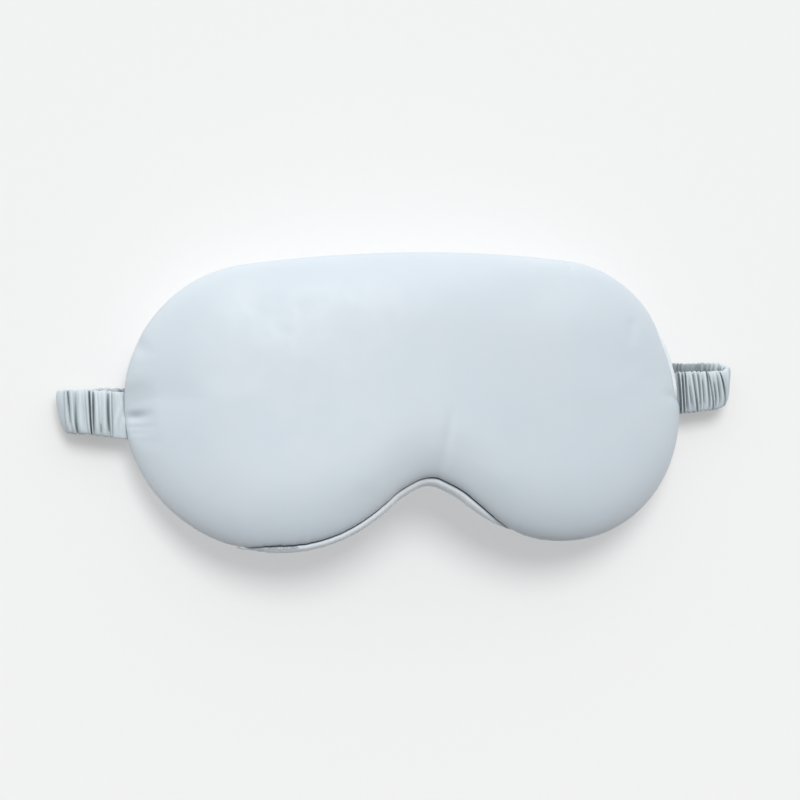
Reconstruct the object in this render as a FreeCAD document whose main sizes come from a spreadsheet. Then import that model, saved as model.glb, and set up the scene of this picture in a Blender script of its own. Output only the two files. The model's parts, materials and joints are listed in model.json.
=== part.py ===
import FreeCAD, Part
import math
import os
import Sketcher
from FreeCAD import Placement, Rotation, Vector

# Sleep eye mask: a padded satin eye pad, bent round an axis that runs brow to cheek, with a
# gathered elastic strap whose two ends fold back under the pad. The mask lies on its strap with
# its front up. Frame: +X along the width, +Y towards the brow, +Z out of the front, with the
# origin on the floor under the middle of the pad. All sizes are in millimetres.

DIMENSIONS = {
    # outline of the eye pad, seen from the front
    "half_width": 108.0,
    "brow_rise": 55.0,
    "lobe_drop": 55.0,
    "brow_radius": 730.0,
    "temple_radius": 49.0,
    "lobe_radius": 55.5,
    "notch_radius": 18.0,
    # bend of the pad, and its layers measured from the seam
    "bend_radius": 340.0,
    "side_height": 9.5,
    "front_rise": 7.5,
    "back_drop": 5.0,
    "front_rounding": 6.0,
    "back_rounding": 3.5,
    "satin": 0.7,
    "layer_gap": 0.2,
    "rim_gap": 0.05,
    "half_liner": 0.3,
    "seam_allowance": 4.0,
    "sheet_margin": 5.0,
    # threads
    "thread": 0.5,
    "stitch_inset": 1.5,
    "closing_left": 71.0,
    "closing_right": 45.0,
    "tack_length": 12.0,
    # strap and its fold lines
    "strap_width": 17.0,
    "strap_thickness": 3.0,
    "strap_shift": 1.5,
    "casing_wall": 0.6,
    "elastic_width": 11.0,
    "elastic_thickness": 0.9,
    "end_gap": 0.4,
    "pad_gap": 1.0,
    "fold_reach": 18.5,
    "fold_radius": 3.0,
    "core_radius": 1.6,
    "core_bore": 0.6,
    "tab_length": 4.0,
    "tab_thickness": 1.2,
    "half_root": 0.5,
    "root_length": 3.6,
    "middle_half_length": 55.0,
}

START, END, CENTRE = 1, 2, 3
ORIGIN = (-1, START)
UPRIGHT = -2
UP = Vector(0, 0, 1)

doc = FreeCAD.newDocument("SleepEyeMask")


# ---- sizes -------------------------------------------------------------------------------------

def make_sheet():
    sheet = doc.addObject("Spreadsheet::Sheet", "Dims")
    for row, (name, size) in enumerate(DIMENSIONS.items(), start=1):
        sheet.set("A%d" % row, name)
        sheet.set("B%d" % row, str(size))
        sheet.setAlias("B%d" % row, name)
    doc.recompute()


def number(terms):
    """The sum of some dimensions, given as names; a leading minus subtracts one."""
    return sum(-DIMENSIONS[term[1:]] if term[0] == "-" else DIMENSIONS[term]
               for term in terms.split())


def formula(terms):
    """The same sum as a FreeCAD expression over the sheet."""
    return "0" + "".join(" - Dims." + term[1:] if term[0] == "-" else " + Dims." + term
                         for term in terms.split())


AXIS_DEPTH = "(sqrt(Dims.bend_radius ^ 2 - Dims.half_width ^ 2) - Dims.side_height)"
FOLD_DROP = "((Dims.side_height - Dims.strap_thickness) / 2)"
FOLD_ANGLE = "atan(%s / Dims.fold_reach)" % FOLD_DROP
RUN = "sqrt(Dims.fold_reach ^ 2 + %s ^ 2)" % FOLD_DROP


def axis_depth():
    """How far the bending axis lies under the floor."""
    bend = DIMENSIONS["bend_radius"]
    return math.sqrt(bend ** 2 - DIMENSIONS["half_width"] ** 2) - DIMENSIONS["side_height"]


# ---- bodies, sketches and features -------------------------------------------------------------

def new_body(name):
    body = doc.addObject("PartDesign::Body", name)
    body.Label = name
    return body


def new_sketch(body, role, lift=None):
    """A sketch on one of the body's own origin planes, lifted off it by a sum of dimensions."""
    sketch = body.newObject("Sketcher::SketchObject", body.Name + "_sketch")
    plane = next(item for item in body.Origin.OriginFeatures if item.Role == role)
    sketch.AttachmentSupport = (plane, [""])
    sketch.MapMode = "FlatFace"
    if lift:
        sketch.setExpression("AttachmentOffset.Base.z", lift)
    return sketch


def relate(sketch, *constraint):
    sketch.addConstraint(Sketcher.Constraint(*constraint))


def bind(sketch, size, *constraint):
    """Add a sized constraint, drawn at its present size, and bind it to an expression."""
    index = sketch.addConstraint(Sketcher.Constraint(*constraint))
    sketch.setExpression("Constraints[%d]" % index, size)


def pad(body, sketch, length, symmetric=False):
    feature = body.newObject("PartDesign::Pad", body.Name + "_pad")
    feature.Profile = sketch
    feature.setExpression("Length", length)
    if symmetric:
        feature.SideType = "Symmetric"
    doc.recompute()
    return feature


def trim(body, sketch):
    """Cut a sketch drawn on the floor plane through everything above it."""
    whole = body.Shape.Volume
    feature = body.newObject("PartDesign::Pocket", body.Name + "_trim")
    feature.Profile = sketch
    feature.Type = "ThroughAll"
    feature.Reversed = True
    doc.recompute()
    assert 0 < body.Shape.Volume < whole, body.Name + ": the trim missed"
    return feature


def round_sheet_face(body, base, level, radius):
    """Round the edges of the curved face that lies at a level from the seam."""
    target = DIMENSIONS["bend_radius"] + number(level)
    face = next(item for item in base.Shape.Faces if isinstance(item.Surface, Part.Cylinder)
                and abs(item.Surface.Radius - target) < 1e-6)
    feature = body.newObject("PartDesign::Fillet", body.Name + "_round")
    feature.Base = (base, ["Edge%d" % index for index, edge in enumerate(base.Shape.Edges, start=1)
                           if any(edge.isSame(own) for own in face.Edges)])
    feature.setExpression("Radius", formula(radius))
    doc.recompute()


# ---- outlines, drawn on the floor plane --------------------------------------------------------

def arc(sketch, centre, radius, start, end):
    circle = Part.Circle(Vector(centre[0], centre[1], 0), UP, radius)
    return sketch.addGeometry(Part.ArcOfCircle(circle, start, end))


def line(sketch, start, end):
    return sketch.addGeometry(Part.LineSegment(Vector(*start, 0), Vector(*end, 0)))


def rectangle(sketch, left, right, bottom, top):
    """A rectangle between four signed places, each a number and an expression for its distance."""
    corners = [(left[0], bottom[0]), (right[0], bottom[0]), (right[0], top[0]), (left[0], top[0])]
    sides = [line(sketch, corners[i], corners[(i + 1) % 4]) for i in range(4)]
    for i in range(4):
        relate(sketch, "Coincident", sides[i], END, sides[(i + 1) % 4], START)
        relate(sketch, "Horizontal" if i % 2 == 0 else "Vertical", sides[i])
    for kind, place, side in (("DistanceX", left, sides[0]), ("DistanceY", bottom, sides[0]),
                              ("DistanceX", right, sides[2]), ("DistanceY", top, sides[2])):
        if place[0] < 0:
            bind(sketch, place[1], kind, side, START, *ORIGIN, -place[0])
        elif place[0] > 0:
            bind(sketch, place[1], kind, *ORIGIN, side, START, place[0])
        else:
            relate(sketch, "PointOnObject", side, START, -1 if kind == "DistanceY" else UPRIGHT)


def eye_outline(sketch, inset):
    """The pad's outline moved inwards: six tangent arcs, anticlockwise from the right end of the
    brow, over the left temple and lobe, round the nose notch and back up the right side."""
    shift = number(inset)
    brow, temple = number("brow_radius") - shift, number("temple_radius") - shift
    lobe, notch = number("lobe_radius") - shift, number("notch_radius") + shift
    brow_y = number("brow_rise -brow_radius")
    lobe_x, lobe_y = number("half_width -lobe_radius"), number("lobe_radius -lobe_drop")
    notch_y = lobe_y - math.sqrt((lobe + notch) ** 2 - lobe_x ** 2)
    down = math.atan2(lobe_y - notch_y, lobe_x)
    # the temple's centre lies on circles round the brow's centre and the lobe's centre
    far, near = brow - temple, lobe - temple
    apart = math.hypot(lobe_x, lobe_y - brow_y)
    tilt = math.atan2(lobe_y - brow_y, lobe_x)
    side = tilt - math.acos((far ** 2 - apart ** 2 - near ** 2) / (2 * apart * near))
    temple_x, temple_y = lobe_x + near * math.cos(side), lobe_y + near * math.sin(side)
    edge = math.atan2(temple_y - brow_y, temple_x)

    top = arc(sketch, (0, brow_y), brow, edge, math.pi - edge)
    left_temple = arc(sketch, (-temple_x, temple_y), temple, math.pi - edge, math.pi - side)
    left_lobe = arc(sketch, (-lobe_x, lobe_y), lobe, math.pi - side, 2 * math.pi - down)
    nose = arc(sketch, (0, notch_y), notch, down, math.pi - down)
    right_lobe = arc(sketch, (lobe_x, lobe_y), lobe, math.pi + down, 2 * math.pi + side)
    right_temple = arc(sketch, (temple_x, temple_y), temple, side, edge)

    relate(sketch, "PointOnObject", top, CENTRE, UPRIGHT)
    relate(sketch, "PointOnObject", nose, CENTRE, UPRIGHT)
    for first, end, second, start in (
            (top, END, left_temple, START), (left_temple, END, left_lobe, START),
            (left_lobe, END, nose, END), (nose, START, right_lobe, START),
            (right_lobe, END, right_temple, START), (right_temple, END, top, START)):
        relate(sketch, "Tangent", first, end, second, start)
    relate(sketch, "Equal", left_temple, right_temple)
    relate(sketch, "Equal", left_lobe, right_lobe)
    less = " - (%s)" % formula(inset)
    bind(sketch, "Dims.brow_radius" + less, "Radius", top, brow)
    bind(sketch, "Dims.temple_radius" + less, "Radius", right_temple, temple)
    bind(sketch, "Dims.lobe_radius" + less, "Radius", right_lobe, lobe)
    bind(sketch, "Dims.notch_radius + " + formula(inset), "Radius", nose, notch)
    bind(sketch, "Dims.brow_radius - Dims.brow_rise", "DistanceY", top, CENTRE, *ORIGIN, -brow_y)
    reach = "Dims.half_width - Dims.lobe_radius"
    bind(sketch, reach, "DistanceX", *ORIGIN, right_lobe, CENTRE, lobe_x)
    bind(sketch, reach, "DistanceX", left_lobe, CENTRE, *ORIGIN, lobe_x)
    bind(sketch, "Dims.lobe_radius - Dims.lobe_drop", "DistanceY", *ORIGIN, right_lobe, CENTRE,
         lobe_y)


def border(sketch):
    """A rectangle outside the whole pad, so that a sketch keeps only what its outline encloses."""
    wide, high = number("half_width sheet_margin sheet_margin"), number("brow_rise sheet_margin")
    across, along = formula("half_width sheet_margin sheet_margin"), formula("brow_rise sheet_margin")
    rectangle(sketch, (-wide, across), (wide, across), (-high, along), (high, along))


# ---- curved sheets of the pad ------------------------------------------------------------------

def curved_sheet(name, low, high):
    """A body that holds the full curved sheet between two levels measured from the seam."""
    body = new_body(name)
    sketch = new_sketch(body, "XZ_Plane")
    depth, reach = axis_depth(), number("half_width sheet_margin")
    arcs = []
    for level in (low, high):
        radius = DIMENSIONS["bend_radius"] + number(level)
        side = math.acos(reach / radius)
        curve = arc(sketch, (0, -depth), radius, side, math.pi - side)
        relate(sketch, "PointOnObject", curve, CENTRE, UPRIGHT)
        bind(sketch, AXIS_DEPTH, "DistanceY", curve, CENTRE, *ORIGIN, depth)
        bind(sketch, "Dims.bend_radius + " + formula(level), "Radius", curve, radius)
        arcs.append((curve, reach, radius * math.sin(side) - depth))
    across = formula("half_width sheet_margin")
    for end, sign in ((START, 1), (END, -1)):
        edge = line(sketch, (sign * arcs[0][1], arcs[0][2]), (sign * arcs[1][1], arcs[1][2]))
        relate(sketch, "Coincident", edge, START, arcs[0][0], end)
        relate(sketch, "Coincident", edge, END, arcs[1][0], end)
        relate(sketch, "Vertical", edge)
        ends = (*ORIGIN, edge, START) if sign > 0 else (edge, START, *ORIGIN)
        bind(sketch, across, "DistanceX", *ends, reach)
    pad(body, sketch, "2 * (%s)" % formula("brow_rise sheet_margin"), symmetric=True)
    return body


def pad_layer(name, inset, low, high, rounding=None, rounded_level=None):
    """One layer of the pad: a curved sheet cut to the eye outline, with one face rounded."""
    body = curved_sheet(name, low, high)
    sketch = new_sketch(body, "XY_Plane")
    border(sketch)
    eye_outline(sketch, inset)
    cut = trim(body, sketch)
    if rounding:
        round_sheet_face(body, cut, rounded_level, rounding)
    return body


def side_patch(name, start, end, margin, low, high):
    """A patch of curved sheet as wide as the strap, between two places on the right side."""
    body = curved_sheet(name, low, high)
    sketch = new_sketch(body, "XY_Plane")
    border(sketch)
    half = "Dims.strap_width / 2 + " + formula(margin)
    reach = DIMENSIONS["strap_width"] / 2 + number(margin)
    shift = DIMENSIONS["strap_shift"]
    rectangle(sketch, (number(start), formula(start)), (number(end), formula(end)),
              (shift - reach, half + " - Dims.strap_shift"), (shift + reach, half + " + Dims.strap_shift"))
    trim(body, sketch)
    return body


def mirrored(name, source):
    """The same piece on the left side."""
    twin = doc.addObject("Part::Mirroring", name)
    twin.Label = name
    twin.Source = source
    twin.Normal = (1, 0, 0)
    doc.recompute()
    return twin


def cut_from(name, base, tools):
    joined = doc.addObject("Part::MultiFuse", name + "_tools")
    joined.Shapes = tools
    result = doc.addObject("Part::Cut", name)
    result.Label = name
    result.Base = base
    result.Tool = joined
    doc.recompute()
    assert 0 < result.Shape.Volume < base.Shape.Volume, name + ": the cut missed"
    return result


def strap_slots():
    """Tools for the two slots in the seam that the strap ends pass through."""
    right = side_patch("slot_tool", "half_width -seam_allowance", "half_width pad_gap",
                       "layer_gap", "-half_root -layer_gap", "half_root layer_gap")
    return [right, mirrored("left_slot_tool", right)]


def front_panel(slots):
    """Outer satin panel, turned down to the seam all round."""
    skin = pad_layer("front_skin", "", "rim_gap", "front_rise", "front_rounding", "front_rise")
    hollow = pad_layer("front_hollow", "satin", "-satin", "front_rise -satin",
                       "front_rounding -satin", "front_rise -satin")
    return cut_from("front_panel", skin, [hollow] + slots)


def back_panel(slots):
    """Satin panel on the face side, turned up to the seam all round."""
    skin = pad_layer("back_skin", "", "-back_drop", "-rim_gap", "back_rounding", "-back_drop")
    hollow = pad_layer("back_hollow", "satin", "-back_drop satin", "satin",
                       "back_rounding -satin", "-back_drop satin")
    return cut_from("back_panel", skin, [hollow] + slots)


def pad_filling():
    """Wadding on both sides of a blackout liner, all caught inside the seam allowance."""
    front = pad_layer("front_wadding", "seam_allowance", "half_liner layer_gap",
                      "front_rise -satin -layer_gap", "front_rounding -satin -layer_gap",
                      "front_rise -satin -layer_gap")
    liner = pad_layer("blackout_liner", "seam_allowance", "-half_liner", "half_liner")
    back = pad_layer("back_wadding", "seam_allowance", "-back_drop satin layer_gap",
                     "-half_liner -layer_gap", "back_rounding -satin -layer_gap",
                     "-back_drop satin layer_gap")
    return [front, liner, back]


def seam_thread():
    """Thread of the closed seam, a ring inside the allowance above the strap ends."""
    body = curved_sheet("edge_seam_thread", "half_root layer_gap", "half_root layer_gap thread")
    sketch = new_sketch(body, "XY_Plane")
    border(sketch)
    eye_outline(sketch, "stitch_inset")
    trim(body, sketch)
    hole = new_sketch(body, "XY_Plane")
    eye_outline(hole, "stitch_inset thread")
    trim(body, hole)
    return body


def closing_stitch():
    """Thread that closes the turning gap, on the outside of the seam under the left lobe."""
    body = curved_sheet("closing_stitch", "-half_liner", "half_liner")
    sketch = new_sketch(body, "XY_Plane")
    border(sketch)
    centre_x, centre_y = number("half_width -lobe_radius"), number("lobe_radius -lobe_drop")
    curves = []
    for size in ("lobe_radius", "lobe_radius thread"):
        angles = [-math.acos((centre_x - DIMENSIONS[name]) / number(size))
                  for name in ("closing_left", "closing_right")]
        curve = arc(sketch, (-centre_x, centre_y), number(size), *angles)
        bind(sketch, formula("half_width -lobe_radius"), "DistanceX", curve, CENTRE, *ORIGIN,
             centre_x)
        bind(sketch, formula("lobe_radius -lobe_drop"), "DistanceY", *ORIGIN, curve, CENTRE,
             centre_y)
        bind(sketch, formula(size), "Radius", curve, number(size))
        curves.append((curve, [centre_y + number(size) * math.sin(angle) for angle in angles]))
    for end, name in ((START, "closing_left"), (END, "closing_right")):
        place_x = DIMENSIONS[name]
        edge = line(sketch, *[(-place_x, heights[end - 1]) for _, heights in curves])
        relate(sketch, "Coincident", edge, START, curves[0][0], end)
        relate(sketch, "Coincident", edge, END, curves[1][0], end)
        relate(sketch, "Vertical", edge)
        bind(sketch, formula(name), "DistanceX", edge, START, *ORIGIN, place_x)
    trim(body, sketch)
    return body


# ---- strap, drawn along local X from a hinge, with its outer side towards local Z ----------------

def flat_section(sketch, inset):
    """A flat strap section with round edges, on the side of the hinge away from the fold."""
    half, offset = DIMENSIONS["strap_thickness"] / 2, number("strap_width -strap_thickness") / 2
    radius = half - number(inset)
    right = arc(sketch, (offset, half), radius, -math.pi / 2, math.pi / 2)
    left = arc(sketch, (-offset, half), radius, math.pi / 2, 3 * math.pi / 2)
    top = line(sketch, (offset, half + radius), (-offset, half + radius))
    bottom = line(sketch, (-offset, half - radius), (offset, half - radius))
    for first, second in ((right, top), (top, left), (left, bottom), (bottom, right)):
        relate(sketch, "Tangent", first, END, second, START)
    relate(sketch, "Equal", left, right)
    relate(sketch, "Horizontal", top)
    across = "(Dims.strap_width - Dims.strap_thickness) / 2"
    bind(sketch, across, "DistanceX", *ORIGIN, right, CENTRE, offset)
    bind(sketch, across, "DistanceX", left, CENTRE, *ORIGIN, offset)
    bind(sketch, "Dims.strap_thickness / 2", "DistanceY", *ORIGIN, right, CENTRE, half)
    bind(sketch, "Dims.strap_thickness / 2 - (%s)" % formula(inset), "Radius", right, radius)


def casing(name, start, length):
    """A length of satin tube."""
    body = new_body(name)
    sketch = new_sketch(body, "YZ_Plane", start)
    flat_section(sketch, "")
    flat_section(sketch, "casing_wall")
    pad(body, sketch, length)
    return body


def elastic(name, start, length):
    """A length of the elastic band inside the tube."""
    body = new_body(name)
    sketch = new_sketch(body, "YZ_Plane", start)
    half, middle = DIMENSIONS["elastic_width"] / 2, DIMENSIONS["strap_thickness"] / 2
    reach = DIMENSIONS["elastic_thickness"] / 2
    across, level = "Dims.elastic_width / 2", "Dims.strap_thickness / 2 %s Dims.elastic_thickness / 2"
    rectangle(sketch, (-half, across), (half, across),
              (middle - reach, level % "-"), (middle + reach, level % "+"))
    pad(body, sketch, length)
    return body


def ring(name, outer, inner, width):
    """A tube round the fold axis at the far end of the front run."""
    body = new_body(name)
    sketch = new_sketch(body, "XZ_Plane")
    run = math.hypot(DIMENSIONS["fold_reach"], number("side_height -strap_thickness") / 2)
    for radius in (outer, inner):
        index = sketch.addGeometry(Part.Circle(Vector(run, 0, 0), UP, number(radius)))
        bind(sketch, formula(radius), "Radius", index, number(radius))
        bind(sketch, RUN, "DistanceX", *ORIGIN, index, CENTRE, run)
        relate(sketch, "PointOnObject", index, CENTRE, -1)
    pad(body, sketch, formula(width), symmetric=True)
    return body


def end_tab(name):
    """The flat folded end of the casing next to the seam."""
    body = new_body(name)
    sketch = new_sketch(body, "XY_Plane")
    half = DIMENSIONS["strap_width"] / 2 - DIMENSIONS["thread"]
    across = "Dims.strap_width / 2 - Dims.thread"
    rectangle(sketch, (number("end_gap"), formula("end_gap")),
              (number("end_gap tab_length"), formula("end_gap tab_length")),
              (-half, across), (half, across))
    slab = pad(body, sketch, "Dims.tab_thickness")
    feature = body.newObject("PartDesign::Fillet", body.Name + "_round")
    feature.Base = (slab, ["Edge%d" % index for index in range(1, len(slab.Shape.Edges) + 1)])
    feature.setExpression("Radius", "Dims.tab_thickness / 3")
    doc.recompute()
    return body


def bar_tack(name):
    """The row of thread that holds the casing's end on its tab."""
    body = new_body(name)
    sketch = new_sketch(body, "XY_Plane", "Dims.tab_thickness")
    half, middle = DIMENSIONS["tack_length"] / 2, number("end_gap") + DIMENSIONS["tab_length"] / 2
    reach = DIMENSIONS["thread"] / 2
    place_x = "Dims.end_gap + Dims.tab_length / 2 %s Dims.thread / 2"
    rectangle(sketch, (middle - reach, place_x % "-"), (middle + reach, place_x % "+"),
              (-half, "Dims.tack_length / 2"), (half, "Dims.tack_length / 2"))
    pad(body, sketch, "Dims.thread")
    return body


def place(pieces, base_x, base_z, turn):
    """Move strap pieces to their hinge and turn them about its axis."""
    for body in pieces:
        body.Placement = Placement(Vector(), Rotation(Vector(0, 1, 0), 1))
        body.setExpression("Placement.Base.x", base_x)
        body.setExpression("Placement.Base.y", "Dims.strap_shift")
        body.setExpression("Placement.Base.z", base_z)
        body.setExpression("Placement.Rotation.Angle", turn)
    doc.recompute()
    return pieces


def front_run():
    """From the seam out to the fold, above its fold axes."""
    start = formula("end_gap tab_length layer_gap")
    length = RUN + " - (%s)" % formula("end_gap tab_length layer_gap fold_radius end_gap")
    pieces = [end_tab("right_end_tab"), bar_tack("right_bar_tack"),
              casing("right_front_casing", start, length),
              elastic("right_front_elastic", start, length),
              ring("right_fold_casing", "fold_radius", "fold_radius -casing_wall", "strap_width"),
              ring("right_fold_elastic", "core_radius", "core_bore", "elastic_width")]
    return place(pieces, formula("half_width pad_gap"), "Dims.side_height", FOLD_ANGLE)


def return_run():
    """From the fold back to the edge of the pad, under its fold axes."""
    start = formula("fold_radius end_gap")
    length = RUN + " - (%s)" % formula("fold_radius end_gap end_gap")
    pieces = [casing("right_return_casing", start, length),
              elastic("right_return_elastic", start, length)]
    return place(pieces, formula("half_width pad_gap fold_reach"),
                 "Dims.side_height - " + FOLD_DROP, "180deg - " + FOLD_ANGLE)


def back_run():
    """The run that lies on the floor under the pad: one side length and the middle."""
    start = formula("middle_half_length end_gap")
    length = formula("half_width pad_gap -end_gap -middle_half_length -end_gap")
    side = [casing("right_back_casing", start, length),
            elastic("right_back_elastic", start, length)]
    start, length = "-Dims.middle_half_length", "2 * Dims.middle_half_length"
    middle = [casing("middle_back_casing", start, length),
              elastic("middle_back_elastic", start, length)]
    place(side + middle, "0", "0", "0deg")
    return side, middle


# ---- the whole mask ----------------------------------------------------------------------------

def build_mask():
    """Every piece of the mask, the left side of the strap mirrored from the right."""
    slots = strap_slots()
    pieces = [front_panel(slots), back_panel(slots)] + pad_filling()
    pieces += [seam_thread(), closing_stitch()]
    side, middle = back_run()
    right = [side_patch("right_strap_root", "half_width layer_gap -root_length",
                        "half_width layer_gap", "", "-half_root", "half_root")]
    right += front_run() + return_run() + side
    left = [mirrored(piece.Label.replace("right", "left"), piece) for piece in right]
    return pieces + middle + right + left


def check_document():
    doc.recompute()
    for item in doc.Objects:
        bad = [state for state in item.State if state in ("Invalid", "Error")]
        assert not bad, "%s is %s" % (item.Label, bad)


def export(pieces):
    os.makedirs("parts", exist_ok=True)
    for piece in pieces:
        shape = piece.Shape
        assert not shape.isNull() and shape.isValid(), piece.Label + " has no valid shape"
        assert shape.Volume > 0, piece.Label + " is empty"
        shape.exportStep("parts/%s.step" % piece.Label)


make_sheet()
mask = build_mask()
check_document()
export(mask)
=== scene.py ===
"""Looks of the satin sleep eye mask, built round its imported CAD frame. Lengths are in metres."""

import json
import math

import bmesh
import bpy
import numpy as np
from mathutils import Matrix, Vector

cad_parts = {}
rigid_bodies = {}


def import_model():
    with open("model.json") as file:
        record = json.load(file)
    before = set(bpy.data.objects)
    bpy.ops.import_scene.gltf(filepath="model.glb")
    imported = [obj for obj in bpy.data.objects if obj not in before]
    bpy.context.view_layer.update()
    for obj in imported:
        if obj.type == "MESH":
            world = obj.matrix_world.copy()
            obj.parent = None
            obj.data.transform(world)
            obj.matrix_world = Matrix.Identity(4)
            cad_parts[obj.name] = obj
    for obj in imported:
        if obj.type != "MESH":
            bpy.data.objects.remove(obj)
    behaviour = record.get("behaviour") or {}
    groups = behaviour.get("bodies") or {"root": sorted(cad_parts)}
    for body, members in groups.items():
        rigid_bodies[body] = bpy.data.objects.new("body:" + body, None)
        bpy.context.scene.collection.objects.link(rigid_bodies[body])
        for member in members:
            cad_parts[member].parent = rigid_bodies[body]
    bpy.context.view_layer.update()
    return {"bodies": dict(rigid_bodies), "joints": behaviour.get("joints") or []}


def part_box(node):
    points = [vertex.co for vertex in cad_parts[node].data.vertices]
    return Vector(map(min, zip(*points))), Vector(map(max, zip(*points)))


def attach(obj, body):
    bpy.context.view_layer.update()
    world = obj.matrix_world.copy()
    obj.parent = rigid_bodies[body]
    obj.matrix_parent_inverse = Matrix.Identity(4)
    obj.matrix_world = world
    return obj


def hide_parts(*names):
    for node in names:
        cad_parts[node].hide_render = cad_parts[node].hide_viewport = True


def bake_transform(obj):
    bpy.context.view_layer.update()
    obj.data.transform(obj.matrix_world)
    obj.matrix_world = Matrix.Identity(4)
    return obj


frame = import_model()
for thing in list(bpy.data.objects):
    if thing.name in ("Cube", "Light", "Camera"):
        bpy.data.objects.remove(thing)

MM = 0.001
TAU = 2 * math.pi

# ---- measures taken from the frame ---------------------------------------------------------------

PAD_LOW, PAD_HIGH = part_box("front_panel")
LINER_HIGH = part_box("blackout_liner")[1]
HALF_WIDTH = PAD_HIGH.x
BROW_RISE = PAD_HIGH.y
LOBE_DROP = -PAD_LOW.y
JOINTS = {joint["name"]: joint for joint in frame["joints"]}
FOLD_HINGE = Vector(JOINTS["left_fold_flex"]["pos_m"])
FOLD_HINGE_X = abs(FOLD_HINGE.x)

# ---- the pad's own shape -------------------------------------------------------------------------

BROW_RADIUS = 730 * MM
TEMPLE_RADIUS = 49 * MM
LOBE_RADIUS = 55.5 * MM
NOTCH_RADIUS = 18 * MM
NOTCH_SHOULDER = 9 * MM
NOTCH_DROP = 1.1 * MM
BEND_RADIUS = 340 * MM
SEAM_TOP = LINER_HIGH.z - 0.3 * MM
SPINE_HALF = 62 * MM
SPINE_Y = 1 * MM
SPINE_CREST = 9 * MM
SPINE_CREST_WIDTH = 28 * MM
NOTCH_TIGHTNESS = 1.1
NOTCH_TIGHT_WIDTH = 27 * MM

FRONT = {"reach": 31 * MM, "rise": 7.9 * MM}
BACK = {"reach": 30 * MM, "rise": 4.8 * MM}
FULLNESS = 2.35
SECTION_POINTS = 1500


def smooth(low, high, value):
    """0 below low, 1 above high, and an even ramp between."""
    share = np.clip((value - low) / (high - low), 0, 1)
    return share * share * (3 - 2 * share)


def outline_arcs():
    """Centres of the temple, lobe and notch arcs, and where one arc meets the next."""
    brow_y = BROW_RISE - BROW_RADIUS
    lobe_x, lobe_y = HALF_WIDTH - LOBE_RADIUS, LOBE_RADIUS - LOBE_DROP
    notch_y = lobe_y - math.sqrt((LOBE_RADIUS + NOTCH_RADIUS) ** 2 - lobe_x ** 2)
    down = math.atan2(lobe_y - notch_y, lobe_x)
    far, near = BROW_RADIUS - TEMPLE_RADIUS, LOBE_RADIUS - TEMPLE_RADIUS
    apart = math.hypot(lobe_x, lobe_y - brow_y)
    side = math.atan2(lobe_y - brow_y, lobe_x) - math.acos(
        (far ** 2 - apart ** 2 - near ** 2) / (2 * apart * near))
    temple_x, temple_y = lobe_x + near * math.cos(side), lobe_y + near * math.sin(side)
    edge = math.atan2(temple_y - brow_y, temple_x)
    return {"brow": (0, brow_y), "temple": (temple_x, temple_y), "lobe": (lobe_x, lobe_y),
            "notch": (0, notch_y), "brow_end": BROW_RADIUS * math.cos(edge),
            "temple_end": lobe_x + LOBE_RADIUS * math.cos(side),
            "notch_end": NOTCH_RADIUS * math.cos(down)}


ARCS = outline_arcs()


def over(name, radius, x, sign):
    """Y of a circle's upper or lower half at x."""
    centre = ARCS[name]
    return centre[1] + sign * np.sqrt(np.maximum(radius ** 2 - (x - centre[0]) ** 2, 0))


def outline(turn):
    """Points of the pad's outline, anticlockwise from its right end. The sewn notch is drawn a
    little to a point, so its shoulders lie below the arc."""
    x = HALF_WIDTH * np.cos(turn)
    across = np.abs(x)
    upper = np.where(across < ARCS["brow_end"], over("brow", BROW_RADIUS, across, 1),
                     np.where(across < ARCS["temple_end"], over("temple", TEMPLE_RADIUS, across, 1),
                              over("lobe", LOBE_RADIUS, across, 1)))
    lower = np.where(across < ARCS["notch_end"], over("notch", NOTCH_RADIUS, across, 1),
                     over("lobe", LOBE_RADIUS, across, -1))
    beside = (across / NOTCH_SHOULDER) ** 2
    lower = lower - NOTCH_DROP * beside * np.exp(1 - beside)
    return np.stack([x, np.where(np.sin(turn) >= 0, upper, lower)], axis=-1)


def spine(turn):
    """The line along the middle of the pad that the mesh runs in to."""
    x = SPINE_HALF * np.cos(turn)
    return np.stack([x, SPINE_Y + SPINE_CREST * np.exp(-(x / SPINE_CREST_WIDTH) ** 2)], axis=-1)


def inward(turn):
    """Unit normals of the outline, pointing into the pad."""
    step = 1e-3
    along = outline((turn + step) % TAU) - outline((turn - step) % TAU)
    along /= np.linalg.norm(along, axis=-1, keepdims=True)
    return np.stack([-along[..., 1], along[..., 0]], axis=-1)


def section_table(side):
    """Length along the cross-section, inset from the outline and height, for a soft quarter oval."""
    inset = side["reach"] * np.linspace(0, 1, SECTION_POINTS) ** 2
    height = side["rise"] * np.sqrt(1 - (1 - inset / side["reach"]) ** FULLNESS)
    length = np.concatenate([[0], np.cumsum(np.hypot(np.diff(inset), np.diff(height)))])
    return length, inset, height


TABLES = {"front": section_table(FRONT), "back": section_table(BACK)}


def section(travel):
    """Inset and height at a distance round the edge, positive over the front."""
    result = []
    for name, sign in (("front", 1), ("back", -1)):
        length, inset, height = TABLES[name]
        far = np.maximum(sign * travel, 0)
        result.append((np.interp(far, length, inset) + np.maximum(far - length[-1], 0),
                       sign * np.interp(far, length, height)))
    front = travel >= 0
    return (np.where(front, result[0][0], result[1][0]), np.where(front, result[0][1], result[1][1]))


def tightness(turn):
    """How much more sharply the padding rises at the nose notch than elsewhere."""
    x = HALF_WIDTH * np.cos(turn)
    return 1 + NOTCH_TIGHTNESS * (np.sin(turn) < 0) * np.exp(-(x / NOTCH_TIGHT_WIDTH) ** 2)


def rise(turn, inset, front):
    """Height of the padding over the seam surface at an inset from the outline."""
    inset = inset * tightness(turn)
    high, low = (np.interp(inset, TABLES[name][1], TABLES[name][2]) for name in ("front", "back"))
    return np.where(front, high, -low)


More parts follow.
